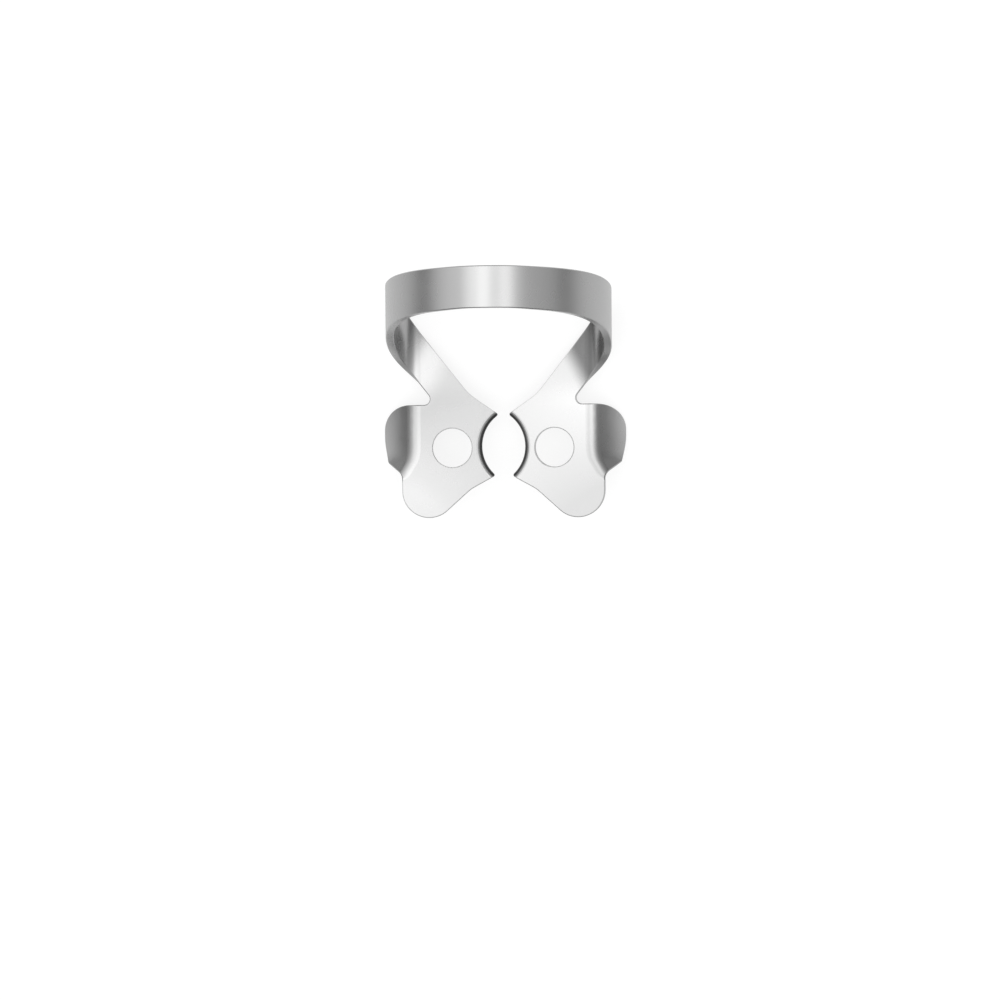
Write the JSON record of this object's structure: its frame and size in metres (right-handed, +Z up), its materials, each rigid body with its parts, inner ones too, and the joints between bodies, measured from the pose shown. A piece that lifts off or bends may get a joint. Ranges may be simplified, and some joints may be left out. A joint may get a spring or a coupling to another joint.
{
  "type": "rubber dam clamp",
  "caption": "Spring-steel clamp bent from sheet, with pronged jaw plates, forceps holes, side wings and an arched bow that closes the jaws on a tooth to hold a dam.",
  "frame": {"origin": "on the table, in the middle of the ground that the clamp covers as it lies at rest", "axes": "+X across the clamp, +Y from the jaws to the bow, +Z up"},
  "size_m": [0.0244, 0.0288, 0.0183],
  "materials": {
    "steel": "satin"
  },
  "bodies": {
    "root": {"clamp": "steel"}
  },
  "joints": []
}
